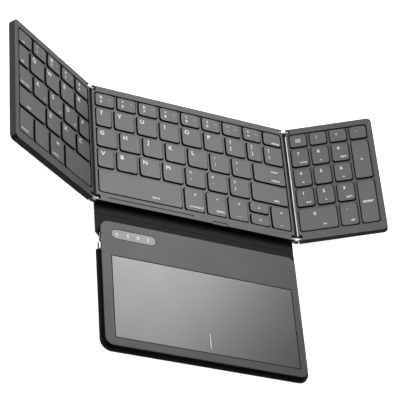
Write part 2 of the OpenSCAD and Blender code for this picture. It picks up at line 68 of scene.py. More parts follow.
def makeCamera():
    data = bpy.data.cameras.new("tableCamera")
    data.lens = viewSet["lens"]
    data.sensor_width = 36
    data.clip_start = 0.05
    data.clip_end = 20
    camera = bpy.data.objects.new("tableCamera", data)
    bpy.context.scene.collection.objects.link(camera)
    camera.location = Vector(viewSet["place"]) * mm
    camera.rotation_euler = Euler([math.radians(a) for a in viewSet["turn"]])
    bpy.context.scene.camera = camera


studioSet = {
    "sky": 0.14,
    "floorSize": 4,
    "floorTone": 0.9,
    "floorGlow": 0.95,
    "key": {"place": (-0.55, 0.3, 0.75), "size": 0.3, "power": 0.2, "spread": 40, "aim": (-0.03, -0.02, 0)},
    "fill": {"place": (0.1, -0.1, 1.1), "size": 0.5, "power": 0.25, "spread": 60, "aim": (0, -0.03, 0)},
    "sheen": {"place": (0.185, 0.3, 0.5), "size": 0.26, "power": 0.65, "spread": 120, "aim": (-0.07, -0.115, 0)},
}


def makeLight(name, place, size, power, spread, aim):
    data = bpy.data.lights.new(name, "AREA")
    data.size = size
    data.energy = power
    data.spread = math.radians(spread)
    lamp = bpy.data.objects.new(name, data)
    bpy.context.scene.collection.objects.link(lamp)
    lamp.location = place
    lamp.rotation_euler = (Vector(aim) - Vector(place)).to_track_quat("-Z", "Y").to_euler()


def makeStudio():
    world = bpy.data.worlds.new("studioSky")
    bpy.context.scene.world = world
    bpy.context.scene.view_settings.view_transform = "Standard"
    world.use_nodes = True
    sky = world.node_tree.nodes["Background"]
    sky.inputs["Color"].default_value = (1, 1, 1, 1)
    sky.inputs["Strength"].default_value = studioSet["sky"]
    for name in ("key", "fill", "sheen"):
        makeLight(name + "Light", **studioSet[name])
    bm = bmesh.new()
    bmesh.ops.create_grid(bm, x_segments=1, y_segments=1, size=studioSet["floorSize"])
    floor = bpy.data.objects.new("studioFloor", bpy.data.meshes.new("studioFloor"))
    bm.to_mesh(floor.data)
    bm.free()
    bpy.context.scene.collection.objects.link(floor)
    tone = studioSet["floorTone"]
    paper = moulded("floorPaper", (tone, tone, tone), 0.9, grain=0.004, change=0.01)
    shader = paper.node_tree.nodes["Principled BSDF"]
    shader.inputs["Emission Color"].default_value = (1, 1, 1, 1)
    shader.inputs["Emission Strength"].default_value = studioSet["floorGlow"]
    floor.data.materials.append(paper)


# finishes

def startFinish(name, rough, metal=0.0):
    finish = bpy.data.materials.new(name)
    finish.use_nodes = True
    tree = finish.node_tree
    shader = tree.nodes["Principled BSDF"]
    shader.inputs["Roughness"].default_value = rough
    shader.inputs["Metallic"].default_value = metal
    place = tree.nodes.new("ShaderNodeTexCoord")
    return finish, tree, shader, place.outputs["Object"]


def addNoise(tree, vector, size, detail=3):
    noise = tree.nodes.new("ShaderNodeTexNoise")
    noise.inputs["Scale"].default_value = 1 / size
    noise.inputs["Detail"].default_value = detail
    tree.links.new(vector, noise.inputs["Vector"])
    return noise.outputs["Fac"]


def addRamp(tree, value, lowColor, highColor, lowAt=0.0, highAt=1.0):
    ramp = tree.nodes.new("ShaderNodeValToRGB")
    low, high = ramp.color_ramp.elements
    low.position = lowAt
    high.position = highAt
    low.color = [*lowColor, 1]
    high.color = [*highColor, 1]
    tree.links.new(value, ramp.inputs["Fac"])
    return ramp.outputs["Color"]


def addRelief(tree, shader, height, strength, depth):
    relief = tree.nodes.new("ShaderNodeBump")
    relief.inputs["Strength"].default_value = strength
    relief.inputs["Distance"].default_value = depth
    tree.links.new(height, relief.inputs["Height"])
    tree.links.new(relief.outputs["Normal"], shader.inputs["Normal"])


def addMap(tree, value, low, high):
    spread = tree.nodes.new("ShaderNodeMapRange")
    spread.inputs["To Min"].default_value = low
    spread.inputs["To Max"].default_value = high
    tree.links.new(value, spread.inputs["Value"])
    return spread.outputs["Result"]


def addMath(tree, kind, first, second):
    step = tree.nodes.new("ShaderNodeMath")
    step.operation = kind
    for slot, value in zip(step.inputs, (first, second)):
        if isinstance(value, (int, float)):
            slot.default_value = value
        else:
            tree.links.new(value, slot)
    return step.outputs["Value"]


# moulded or painted plastic: fine grain, broad unevenness of tone and gloss
def moulded(name, color, rough, gloss=0.5, grain=0.0004, bump=0.3, change=0.06, sheen=0.06):
    finish, tree, shader, spot = startFinish(name, rough)
    shader.inputs["Specular IOR Level"].default_value = gloss
    fine = addNoise(tree, spot, grain)
    broad = addNoise(tree, spot, grain * 60, 2)
    tone = addMath(tree, "ADD", addMath(tree, "MULTIPLY", fine, 0.45), addMath(tree, "MULTIPLY", broad, 0.55))
    low = [c * (1 - change) for c in color]
    high = [min(1, c * (1 + change)) for c in color]
    tree.links.new(addRamp(tree, tone, low, high, 0.3, 0.7), shader.inputs["Base Color"])
    tree.links.new(addMap(tree, broad, rough - sheen, min(1, rough + sheen)), shader.inputs["Roughness"])
    addRelief(tree, shader, fine, bump, grain * 0.15)
    return finish


# drawn metal: long scratches along one axis
def drawn(name, color, rough, along=(1, 40, 40), size=0.004, metal=1.0):
    finish, tree, shader, spot = startFinish(name, rough, metal)
    stretch = tree.nodes.new("ShaderNodeMapping")
    stretch.inputs["Scale"].default_value = along
    tree.links.new(spot, stretch.inputs["Vector"])
    lines = addNoise(tree, stretch.outputs["Vector"], size, 5)
    low = [c * 0.86 for c in color]
    tree.links.new(addRamp(tree, lines, low, color, 0.3, 0.7), shader.inputs["Base Color"])
    tree.links.new(addMap(tree, lines, rough * 0.7, rough * 1.4), shader.inputs["Roughness"])
    addRelief(tree, shader, lines, 0.15, 0.00005)
    return finish


# leather-like cover: small pebbles parted by fine creases
def leather(name, color, pebble=0.0007):
    finish, tree, shader, spot = startFinish(name, 0.6)
    shader.inputs["Specular IOR Level"].default_value = 0.25
    warp = addNoise(tree, spot, pebble * 3, 2)
    cells = tree.nodes.new("ShaderNodeTexVoronoi")
    cells.feature = "DISTANCE_TO_EDGE"
    cells.inputs["Scale"].default_value = 1 / pebble
    cells.inputs["Randomness"].default_value = 0.85
    tree.links.new(spot, cells.inputs["Vector"])
    crease = addMap(tree, cells.outputs["Distance"], 0, 3)
    grain = addMath(tree, "ADD", addMath(tree, "MINIMUM", crease, 1), addMath(tree, "MULTIPLY", warp, 0.4))
    broad = addNoise(tree, spot, 0.03, 3)
    tone = addMath(tree, "MULTIPLY", grain, addMap(tree, broad, 0.75, 1.1))
    low = [c * 0.6 for c in color]
    high = [c * 1.25 for c in color]
    tree.links.new(addRamp(tree, tone, low, high, 0.2, 1), shader.inputs["Base Color"])
    tree.links.new(addMap(tree, warp, 0.45, 0.7), shader.inputs["Roughness"])
    addRelief(tree, shader, grain, 0.6, pebble * 0.12)
    return finish


# satin film of the touch surface
def satin(name, color, rough):
    finish, tree, shader, spot = startFinish(name, rough)
    fine = addNoise(tree, spot, 0.0005, 2)
    broad = addNoise(tree, spot, 0.02, 3)
    low = [c * 0.94 for c in color]
    high = [c * 1.05 for c in color]
    tree.links.new(addRamp(tree, broad, low, high, 0.3, 0.7), shader.inputs["Base Color"])
    tree.links.new(addMap(tree, broad, rough - 0.03, rough + 0.03), shader.inputs["Roughness"])
    addRelief(tree, shader, fine, 0.12, 0.00003)
    shader.inputs["Specular IOR Level"].default_value = 1
    shader.inputs["Coat Weight"].default_value = 0.3
    shader.inputs["Coat Roughness"].default_value = 0.3
    return finish


# green board with copper tracks
def circuit(name):
    finish, tree, shader, spot = startFinish(name, 0.35)
    cells = tree.nodes.new("ShaderNodeTexVoronoi")
    cells.distance = "CHEBYCHEV"
    cells.feature = "DISTANCE_TO_EDGE"
    cells.inputs["Scale"].default_value = 260
    tree.links.new(spot, cells.inputs["Vector"])
    color = addRamp(tree, cells.outputs["Distance"], (0.05, 0.2, 0.1), (0.015, 0.1, 0.05), 0.02, 0.06)
    tree.links.new(color, shader.inputs["Base Color"])
    addRelief(tree, shader, cells.outputs["Distance"], 0.1, 0.0001)
    return finish


# wrinkled foil of the battery
def foil(name):
    finish, tree, shader, spot = startFinish(name, 0.35, 1)
    folds = addNoise(tree, spot, 0.006, 6)
    tree.links.new(addRamp(tree, folds, (0.45, 0.46, 0.47), (0.7, 0.7, 0.71), 0.3, 0.7), shader.inputs["Base Color"])
    addRelief(tree, shader, folds, 0.4, 0.0006)
    return finish


makeCamera()
makeStudio()
print("camera and studio ready")

finishes = {
    "case_black": moulded("caseBlack", (0.0075, 0.0075, 0.008), 0.5, 0.05),
    "frame_grey": moulded("frameGrey", (0.1, 0.1, 0.105), 0.45, 0.6),
    "key_grey": moulded("keyGrey", (0.137, 0.137, 0.144), 0.46, 0.62),
    "steel_sheet": drawn("steelSheet", (0.5, 0.5, 0.51), 0.35),
    # the membrane's near-black is partly its own dark film and partly painted shade, so the gaps round the keys read
    # black
    "membrane_film": moulded("membraneFilmAndShade", (0.008, 0.008, 0.009), 0.5, 0.1),
    "dome_rubber": moulded("domeRubber", (0.7, 0.7, 0.67), 0.5),
    "scissor_white": moulded("scissorWhite", (0.8, 0.8, 0.8), 0.4),
    "chrome": drawn("chrome", (0.8, 0.81, 0.83), 0.14),
    "screw_steel": drawn("screwSteel", (0.4, 0.4, 0.42), 0.3, (30, 30, 30)),
    "cover_leather": leather("coverLeather", (0.008, 0.008, 0.0088)),
    "foot_rubber": moulded("footRubber", (0.02, 0.02, 0.02), 0.75, grain=0.0006, bump=0.5),
    "hinge_black": moulded("hingeBlack", (0.014, 0.014, 0.015), 0.4, 0.25),
    "plate_grey": moulded("plateGrey", (0.076, 0.075, 0.081), 0.45, 0.55),
    "touch_film": satin("touchFilm", (0.06, 0.06, 0.061), 0.33),
    "circuit_board": circuit("circuitBoard"),
    "battery_foil": foil("batteryFoil"),
    "window_clear": moulded("windowClear", (0.24, 0.24, 0.245), 0.3, grain=0.0008),
    "lamp_white": moulded("lampWhite", (0.85, 0.85, 0.84), 0.35),
    "socket_steel": drawn("socketSteel", (0.6, 0.6, 0.62), 0.25),
    "switch_grey": drawn("switchSteel", (0.82, 0.82, 0.84), 0.22),
}
# bright plating made near-white as a painted highlight, on the hinge links' sides and the switch knob
platedAndHighlight = drawn("platedLinkAndHighlight", (0.95, 0.95, 0.96), 0.25, metal=0.25)
darkSteel = drawn("darkSteel", (0.06, 0.06, 0.065), 0.4, (30, 30, 30))
# a lighter grey for the wings' outer end walls: painted light
endPaintedLight = moulded("endPaintedLight", (0.045, 0.045, 0.047), 0.5, 0.2)
# near-black for dark sides and rims, also used as painted shade in gaps and recesses
sideBlackAndShade = moulded("keySideBlackAndShade", (0.004, 0.004, 0.0045), 0.5, 0.15)
legendWhite = moulded("legendWhite", (0.95, 0.95, 0.95), 0.5, 0.8, change=0.03)
legendGrey = moulded("legendGrey", (0.42, 0.43, 0.44), 0.5, change=0.03)
slotOf = {part["node"]: part["material_slot"] for part in frame["record"]["subparts"]}
for node, slotName in slotOf.items():
    mesh = nodes[node].data
    mesh.materials.clear()
    mesh.materials.append(finishes[slotName])
print("CAD nodes dressed")


# mesh helpers

meshSet = {
    "merge": 1e-6,          # points nearer than this many metres are one
    "flatAngle": 0.5,       # degrees between faces that count as one
    "sharpAngle": 32,       # degrees at an edge that stays crisp
    "straight": 0.9999,     # a face whose normal lies along an axis is shaded flat
    "upright": 0.9,         # Z of the normal of a top or an underside
}


def nodeBox(node):
    return [Vector(corner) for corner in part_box(node)]


def splitCopy(node, place):
    bm = bmesh.new()
    bm.from_mesh(nodes[node].data)
    bmesh.ops.remove_doubles(bm, verts=bm.verts, dist=meshSet["merge"])
    bm.transform(place.inverted())
    return bm


def mergedCopy(node, place):
    bm = splitCopy(node, Matrix.Identity(4))
    bmesh.ops.dissolve_limit(bm, angle_limit=math.radians(meshSet["flatAngle"]), verts=bm.verts, edges=bm.edges)
    bm.transform(place.inverted())
    return bm


def looseParts(bm):
    left = set(bm.verts)
    while left:
        part = [left.pop()]
        for vert in part:
            for edge in vert.link_edges:
                other = edge.other_vert(vert)
                if other in left:
                    left.discard(other)
                    part.append(other)
        yield part


def span(verts):
    low = Vector([min(v.co[i] for v in verts) for i in range(3)])
    high = Vector([max(v.co[i] for v in verts) for i in range(3)])
    return low, high


def nearOutline(spot, low, high, reach):
    return min(spot.x - low.x, high.x - spot.x, spot.y - low.y, high.y - spot.y) < reach


def cutAt(bm, spot, way):
    bmesh.ops.bisect_plane(bm, geom=bm.verts[:] + bm.edges[:] + bm.faces[:], plane_co=spot, plane_no=way)


# a rectangle between two corners, at the lower one's height
def addRectangle(bm, low, high):
    bmesh.ops.create_grid(bm, x_segments=1, y_segments=1, size=0.5)
    size = high - low
    bmesh.ops.scale(bm, vec=(size.x, size.y, 1), verts=bm.verts)
    bmesh.ops.translate(bm, vec=((low.x + high.x) / 2, (low.y + high.y) / 2, low.z), verts=bm.verts)


# a flat outline becomes a solid; gives its top face
def raiseOutline(bm, height):
    risen = bmesh.ops.extrude_face_region(bm, geom=bm.faces[:], use_keep_orig=True)["geom"]
    bmesh.ops.translate(bm, vec=(0, 0, height), verts=[g for g in risen if isinstance(g, bmesh.types.BMVert)])
    bmesh.ops.recalc_face_normals(bm, faces=bm.faces)
    return next(g for g in risen if isinstance(g, bmesh.types.BMFace))


# a mesh or a finished shape goes into a larger one; gives its points and faces there
def addMesh(bm, mesh):
    points, faces = len(bm.verts), len(bm.faces)
    bm.from_mesh(mesh)
    bpy.data.meshes.remove(mesh)
    bm.verts.ensure_lookup_table()
    bm.faces.ensure_lookup_table()
    return bm.verts[points:], bm.faces[faces:]


def addShape(bm, shape):
    mesh = bpy.data.meshes.new("part")
    shape.to_mesh(mesh)
    shape.free()
    return addMesh(bm, mesh)


def setShade(bm):
    for face in bm.faces:
        face.smooth = max(abs(c) for c in face.normal) < meshSet["straight"]
    for edge in bm.edges:
        edge.smooth = len(edge.link_faces) == 2 and edge.calc_face_angle(0) < math.radians(meshSet["sharpAngle"])


def finishPiece(bm, name, body, place, materials, slotName, replaced=()):
    mesh = bpy.data.meshes.new(name)
    bm.transform(place)
    bm.to_mesh(mesh)
    bm.free()
    piece = bpy.data.objects.new(name, mesh)
    bpy.context.scene.collection.objects.link(piece)
    for material in materials:
        mesh.materials.append(material)
    if body:
        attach(piece, body)
    if replaced:
        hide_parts(*replaced)
    return piece


# places of the three key panels: their back left corners on the underside, as the case lies

foldSet = {
    "leftTurn": 33,        # degrees
    "rightTurn": 34,
    "linkLength": 5.9,
    "pinInset": 1,
    "axisHeight": 2.45,    # above a panel's underside
    "leftWidth": 90,
}


def panelPlaces():
    low, high = nodeBox("center_case")
    places = {"center": Matrix.Translation((low.x, high.y, low.z))}
    inset = foldSet["pinInset"] * mm
    axisHeight = foldSet["axisHeight"] * mm
    for name, side, edge, corner in (
        ("left", -1, low.x + inset, inset - foldSet["leftWidth"] * mm),
        ("right", 1, high.x - inset, -inset),
    ):
        half = Matrix.Rotation(math.radians(-side * foldSet[name + "Turn"] / 2), 4, "Y")
        axis = Matrix.Translation((edge, 0, low.z + axisHeight))
        link = Matrix.Translation((side * foldSet["linkLength"] * mm, 0, 0))
        places[name + "Link"] = axis @ half
        places[name] = axis @ half @ link @ half @ Matrix.Translation((corner, high.y, -axisHeight))
    return places


panels = panelPlaces()
flat = Matrix.Identity(4)


# a CAD node's shape with its sharp edges rounded
def softened(node, name, body, place=flat, width=0.2, segments=2, paint=None, more=()):
    bm = mergedCopy(node, place)
    limit = math.radians(meshSet["sharpAngle"])
    sharp = [e for e in bm.edges if e.is_manifold and e.calc_face_angle(0) > limit]
    bmesh.ops.bevel(bm, geom=sharp, offset=width * mm, segments=segments, profile=0.5,
                    affect="EDGES", clamp_overlap=True, material=-1)
    bm.normal_update()
    if paint:
        paint(bm)
    setShade(bm)
    slotName = slotOf[node]
    return finishPiece(bm, name, body, place, [finishes[slotName], *more], slotName, [node])


# key caps: grey tops, near-black sides that are partly dark plastic and partly painted shade, hollow underneath

capSet = {
    "corner": 2.1,
    "cornerSteps": 6,
    "edge": 0.34,
    "edgeSteps": 4,
    "topSlope": 0.92,       # bevel faces flatter than this keep the top's grey; steeper ones take the near-black as painted shade
    "wall": 0.8,
    "hollow": 0.7,
}


def capBoxes(node, place):
    bm = splitCopy(node, place)
    boxes = [span(part) for part in looseParts(bm)]
    bm.free()
    middles = sorted({round((low.y + high.y) / 2 / mm) for low, high in boxes}, reverse=True)
    return sorted(boxes, key=lambda box: (round(box[0].x / mm), middles.index(round((box[0].y + box[1].y) / 2 / mm))))


def capShape(low, high):
    bm = bmesh.new()
    addRectangle(bm, low, high)
    bmesh.ops.bevel(bm, geom=bm.verts[:], offset=capSet["corner"] * mm, segments=capSet["cornerSteps"],
                    profile=0.5, affect="VERTICES", material=-1)
    top = raiseOutline(bm, high.z - low.z)
    for face in bm.faces:
        face.material_index = 1
    top.material_index = 0
    edge = bmesh.ops.bevel(bm, geom=list(top.edges), offset=capSet["edge"] * mm, segments=capSet["edgeSteps"],
                           profile=0.5, affect="EDGES", material=-1)
    # the steep part of the rounded top edge is painted near-black: painted shade that widens the dark outline
    for face in edge["faces"]:
        face.material_index = 0 if face.normal.z > capSet["topSlope"] else 1
    under = [f for f in bm.faces if f.normal.z < -meshSet["upright"]]
    bmesh.ops.inset_region(bm, faces=under, thickness=capSet["wall"] * mm)
    hollow = [f for f in bm.faces if f.normal.z < -meshSet["upright"] and len(f.verts) > 4]
    bmesh.ops.translate(bm, vec=(0, 0, capSet["hollow"] * mm), verts=hollow[-1].verts)
    setShade(bm)
    return bm


def rowName(panel, row, kind):
    return panel + row[0].upper() + row[1:] + kind


def makeKeys(panel, row):
    node = f"{panel}_{row}_keys"
    place = panels[panel]
    boxes = capBoxes(node, place)
    rowBm = bmesh.new()
    for low, high in boxes:
        addShape(rowBm, capShape(low, high))
    finishPiece(rowBm, rowName(panel, row, "Keys"), node + "_row", place, [finishes["key_grey"], sideBlackAndShade],
                "key_grey", [node])
    makeLegends(panel, row, boxes, place)


# printed legends: how large, and where the middle lies from the cap's back left corner, mm or share

legendSet = {
    "letter": {"size": 4.7, "across": 4.1, "down": 3.8, "bold": 0.15},
    "above": {"size": 3.2, "across": 4.4, "down": 3.3, "bold": 0.1},
    "below": {"size": 3.2, "across": 4.4, "down": 7.2, "bold": 0.1},
    "twinAbove": {"size": 3.7, "across": 4.0, "down": 3.6, "bold": 0.11},
    "twinBelow": {"size": 3.7, "across": 4.0, "down": 9.6, "bold": 0.11},
    "side": {"size": 2.1, "across": 11.2, "down": 4.4, "bold": 0.03, "dim": True},
    "foot": {"size": 3.0, "across": 12.0, "down": 12.2, "bold": 0.08},
    "wordLow": {"size": 2.7, "across": 0.36, "down": 0.82, "bold": 0.04},
    "wordRight": {"size": 2.7, "across": 0.68, "down": 0.8, "bold": 0.05},
    "wordHigh": {"size": 2.7, "across": 0.68, "down": 0.3, "bold": 0.05},
    "wordDim": {"size": 2.2, "across": 0.5, "down": 0.82, "bold": 0.02, "dim": True},
    "signHigh": {"size": 3.4, "across": 0.56, "down": 0.24, "bold": 0.09},
    "middle": {"size": 3.6, "across": 0.5, "down": 0.5, "bold": 0.1},
    "padDigit": {"size": 3.8, "across": 0.42, "down": 0.26, "bold": 0.09},
    "padWord": {"size": 2.3, "across": 0.66, "down": 0.78, "bold": 0.05},
    "padSign": {"size": 2.8, "across": 0.5, "down": 0.78, "bold": 0.08},
    "padTop": {"size": 3.4, "across": 0.42, "down": 0.42, "bold": 0.08},
    "padLines": {"size": 2.3, "across": 0.5, "down": 0.5, "bold": 0.05},
}


def letters(text):
    return [[("letter", c)] for c in text]


def digits(pairs, first):
    return [[("above", sign), ("below", digit), ("side", f"F{first + i}")]
            for i, (digit, sign) in enumerate(pairs)]


def twins(pairs):
    return [[("twinAbove", upper), ("twinBelow", lower)] for lower, upper in pairs]


def padKeys(pairs):
    return [[("padDigit", digit), (kind, word)] for digit, kind, word in pairs]


legends = {
    "left_number": [[("wordLow", "esc")]] + digits(("1!", "2@", "3#", "4$"), 1),
    "left_upper": [[("wordLow", "tab")]] + letters("QWER"),
    "left_home": [[("wordLow", "caps lock")]]
    + [[("letter", c), ("foot", n)] for c, n in ("A1", "S2", "D3")] + letters("F"),
    "left_lower": [[("wordLow", "shift")]] + letters("ZXC"),
    "left_space": [[("wordLow", "control")], [("wordDim", "fn")], [("signHigh", "alt"), ("wordLow", "option")], []],
    "center_number": digits(("5%", "6^", "7&", "8*", "9(", "0)", "-_", "=+"), 5) + [[("wordRight", "delete")]],
    "center_upper": letters("TYUIOP") + twins(("[{", "]}", "\\|")),
    "center_home": letters("GHJKL") + twins((";:", "'\"")) + [[("wordHigh", "enter"), ("wordRight", "return")]],
    "center_lower": letters("VBNM") + twins((",<", ".>", "/?")) + [[("wordRight", "shift")]],
    "center_space": [
        [("wordRight", "space")],
        [("signHigh", "x"), ("wordRight", "command")],
        [("signHigh", "^"), ("wordRight", "option")],
        [("signHigh", "<"), ("wordDim", "home")],
        [("middle", "^")],
        [("middle", "v")],
        [("signHigh", ">"), ("wordDim", "end")],
    ],
    "right_operator": [[("padLines", "num\nlock")], [("padTop", "/")], [("padTop", "*")], [("padTop", "-")]],
    "right_789": padKeys((("7", "padWord", "home"), ("8", "padSign", "^"), ("9", "padWord", "pgup"))),
    "right_456": padKeys((("4", "padSign", "<"), ("5", "padSign", ""), ("6", "padSign", ">"))),
    "right_123": padKeys((("1", "padWord", "end"), ("2", "padSign", "v"), ("3", "padWord", "pgdn"))),
    "right_zero": padKeys((("0", "padWord", "ins"), (".", "padWord", "del"))),
    "right_tall": [[("middle", "+")], [("middle", "enter")]],
}
printHeight = 0.02 * mm
legendMargin = 1.1 * mm    # between a legend and its cap's edge


# the outline of letters moves out by the strokes' extra boldness
def thicken(mesh, bold):
    bm = bmesh.new()
    bm.from_mesh(mesh)
    bmesh.ops.remove_doubles(bm, verts=bm.verts, dist=1e-7)
    bmesh.ops.recalc_face_normals(bm, faces=bm.faces)
    moves = []
    for vert in bm.verts:
        sides = [f.normal for e in vert.link_edges if len(e.link_faces) == 2
                 and abs(e.link_faces[0].normal.z - e.link_faces[1].normal.z) > 0.5
                 for f in e.link_faces if abs(f.normal.z) < 0.5]
        if len(sides) == 2:
            moves.append((vert, (sides[0] + sides[1]) * bold / max(1 + sides[0].dot(sides[1]), 0.5)))
    for vert, move in moves:
        vert.co += move
    bm.to_mesh(mesh)
    bm.free()


def textMesh(text, size, bold):
    curve = bpy.data.curves.new("print", "FONT")
    curve.body = text
    curve.size = size * mm
    curve.extrude = printHeight / 2
    curve.resolution_u = 4
    curve.align_x = "CENTER"
    curve.space_line = 0.8
    holder = bpy.data.objects.new("print", curve)
    bpy.context.scene.collection.objects.link(holder)
    bpy.context.view_layer.update()
    mesh = bpy.data.meshes.new_from_object(holder.evaluated_get(bpy.context.evaluated_depsgraph_get()))
    bpy.data.objects.remove(holder)
    bpy.data.curves.remove(curve)
    thicken(mesh, bold * mm)
    return mesh


def makeLegends(panel, row, boxes, place):
    bm = bmesh.new()
    for (low, high), keyWords in zip(boxes, legends[f"{panel}_{row}"]):
        width = high.x - low.x
        depth = high.y - low.y
        for kind, text in keyWords:
            if not text:
                continue
            look = legendSet[kind]
            across = look["across"] * (mm if look["across"] > 1 else width)
            down = look["down"] * (mm if look["down"] > 1 else depth)
            glyphs, faces = addMesh(bm, textMesh(text, look["size"], look["bold"]))
            textLow, textHigh = span(glyphs)
            middle = (textLow + textHigh) / 2
            reach = (textHigh.x - textLow.x) / 2 + legendMargin
            across = min(max(across, reach), width - reach) if width > 2 * reach else width / 2
            spot = Vector((low.x + across, high.y - down, high.z + printHeight / 2))
            bmesh.ops.translate(bm, vec=spot - middle, verts=glyphs)
            for face in faces:
                face.material_index = 1 if look.get("dim") else 0
    finishPiece(bm, rowName(panel, row, "Legends"), f"{panel}_{row}_keys_row", place, [legendWhite, legendGrey],
                "lamp_white")


keyRows = {
    "left": ("number", "upper", "home", "lower", "space"),
    "center": ("number", "upper", "home", "lower", "space"),
    "right": ("operator", "789", "456", "123", "zero", "tall"),
}
for panel, rows in keyRows.items():
    for row in rows:
        makeKeys(panel, row)
print("keys and legends made")


# key frames and cases

frameSet = {
    "edge": 0.38,
    "caseEdge": 0.35,
    "steps": 3,
    "outside": 1.2,         # faces this near the panel's outline belong to its outer edge
    "endLean": 0.8,         # X of the normal of a face at an end or a hinge
    "wallLean": 0.5,        # most Z of the normal of an outer wall
    "wellLean": 0.97,       # most Z of the normal of a wall round a key; steeper faces, rounded edges included, get painted shade
}
panelBodies = {"center": "middle_panel", "left": "left_wing", "right": "right_wing"}


# the outer end of a wing is a touch lighter than its other walls: painted light for the lamp falling on it
def paintWalls(bm, panel, walls, hinges, end):
    low, high = span(bm.verts)
    wayOut = {"left": -1, "right": 1, "center": 0}[panel]
    for face in bm.faces:
        outer = nearOutline(face.calc_center_median(), low, high, frameSet["outside"] * mm)
        if outer and wayOut and face.normal.x * wayOut > frameSet["endLean"]:
            face.material_index = end
        elif outer and hinges is not None and abs(face.normal.x) > frameSet["endLean"]:
            face.material_index = hinges
        # walls round the keys and the steep rounded edges of their openings get near-black as painted shade; outer
        # walls take the case's black
        elif abs(face.normal.z) < frameSet["wallLean" if outer else "wellLean"]:
            face.material_index = walls


for panel, body in panelBodies.items():
    softened(panel + "_frame", panel + "Frame", body, panels[panel], frameSet["edge"], frameSet["steps"],
             lambda bm: paintWalls(bm, panel, 1, 0, 2), [finishes["case_black"], endPaintedLight])
    softened(panel + "_case", panel + "Case", body, panels[panel], frameSet["caseEdge"], frameSet["steps"],
             lambda bm: paintWalls(bm, panel, 0, None, 1), [endPaintedLight])
print("frames and cases made")


# soft cover: two sheets that meet in the middle of the spine

coverSet = {
    "cornerR": 8.55,
    "cornerSteps": 10,
    "edge": 0.22,
    "edgeSteps": 2,
    "edgeAngle": 60,        # least degrees at an edge that is rounded
    "crease": 1.7,          # length over which the crease lines are cut
    "creaseLines": 8,
    "notchBack": 15,        # notch's middle from the flap's back edge
    "notchOuter": 15,
    "notchInner": 9,
    "notchDepth": 2.75,
}


def coverSheet(name, outline, rounded, crease, way, replaced):
    low, high = nodeBox("spine_cover")
    bm = bmesh.new()
    corners = [bm.verts.new((x, y, low.z)) for x, y in outline]
    bm.faces.new(corners)
    if rounded:
        picked = [corners[i] for i in rounded]
        bmesh.ops.bevel(bm, geom=picked, offset=coverSet["cornerR"] * mm, segments=coverSet["cornerSteps"],
                        profile=0.5, affect="VERTICES", material=-1)
    end = crease + way * coverSet["crease"] * mm
    for i in range(coverSet["creaseLines"] + 1):
        cutAt(bm, (0, crease + (end - crease) * i / coverSet["creaseLines"], 0), (0, 1, 0))
    area = sum(f.calc_area() for f in bm.faces)
    raiseOutline(bm, high.z - low.z)
    sharp = [e for e in bm.edges if e.is_manifold and e.calc_face_angle(0) > math.radians(coverSet["edgeAngle"])
             and abs(e.verts[0].co.z - e.verts[1].co.z) < meshSet["merge"]]
    bmesh.ops.bevel(bm, geom=sharp, offset=coverSet["edge"] * mm, segments=coverSet["edgeSteps"],
                    profile=0.5, affect="EDGES", material=-1)
    setShade(bm)
    piece = finishPiece(bm, name, None, flat, [finishes["cover_leather"]], "cover_leather", replaced)
    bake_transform(piece)
    return piece


def makeCover():
    backLow, backHigh = nodeBox("center_cover")
    spineLow, spineHigh = nodeBox("spine_cover")
    flapLow, flapHigh = nodeBox("touch_cover")
    middle = (spineLow.y + spineHigh.y) / 2
    left, right = backLow.x, backHigh.x
    coverSheet("coverBack", [(left, backHigh.y), (left, middle), (right, middle), (right, backHigh.y)], (),
               backLow.y, -1, ["center_cover"])
    notch = nodeBox("touch_case")[1].y - coverSet["notchBack"] * mm
    outer = coverSet["notchOuter"] / 2 * mm
    inner = coverSet["notchInner"] / 2 * mm
    deep = left + coverSet["notchDepth"] * mm
    outline = [(right, middle), (left, middle), (left, notch + outer), (deep, notch + inner),
               (deep, notch - inner), (left, notch - outer), (left, flapLow.y), (right, flapLow.y)]
    coverSheet("coverFront", outline, (6, 7), flapHigh.y, 1, ["touch_cover", "spine_cover"])


makeCover()
print("cover made")


# touchpad panel

padSet = {
    "plateEdge": 0.3,
    "caseEdge": 0.5,
    "steps": 3,
    "outside": 3,            # faces this near the plate's outline belong to its outer edge
    "border": 0.8,
    "divider": 1.7,          # X of the line between the two buttons
    "dividerBack": -142.9,
    "dividerFront": 3.8,     # from the surface's front edge
    "dividerWidth": 0.95,
    "dividerEdge": 0.35,
}


def makeTouchSurface():
    low, high = nodeBox("touch_surface")
    bm = bmesh.new()
    addRectangle(bm, low, high)
    top = raiseOutline(bm, high.z - low.z)
    # a near-black band round the surface's edge: painted shade of the gap to the plate
    ring = bmesh.ops.inset_region(bm, faces=[top], thickness=padSet["border"] * mm)["faces"]
    for face in ring:
        face.material_index = 1
    line = padSet["divider"]
    half = padSet["dividerWidth"] / 2
    edge = half + padSet["dividerEdge"]
    front = low.y / mm + padSet["dividerFront"]
    for side in (-edge, -half, half, edge):
        cutAt(bm, ((line + side) * mm, 0, 0), (1, 0, 0))
    for y in (padSet["dividerBack"], front):
        cutAt(bm, (0, y * mm, 0), (0, 1, 0))
    for face in bm.faces:
        spot = face.calc_center_median() / mm
        inside = abs(spot.x - line) < edge and front < spot.y < padSet["dividerBack"]
        if inside and face.normal.z > meshSet["upright"]:
            face.material_index = 2 if abs(spot.x - line) < half else 1
    setShade(bm)
    finishPiece(bm, "touchSurface", "touch_panel", flat, [finishes["touch_film"], sideBlackAndShade, legendWhite],
                "touch_film", ["touch_surface"])


# walls and rounded edges of the plate's openings are painted near-black: painted shade in the openings
def paintOpenings(bm):
    low, high = span(bm.verts)
    for face in bm.faces:
        outer = nearOutline(face.calc_center_median(), low, high, padSet["outside"] * mm)
        if not outer and abs(face.normal.z) < frameSet["wellLean"]:
            face.material_index = 1


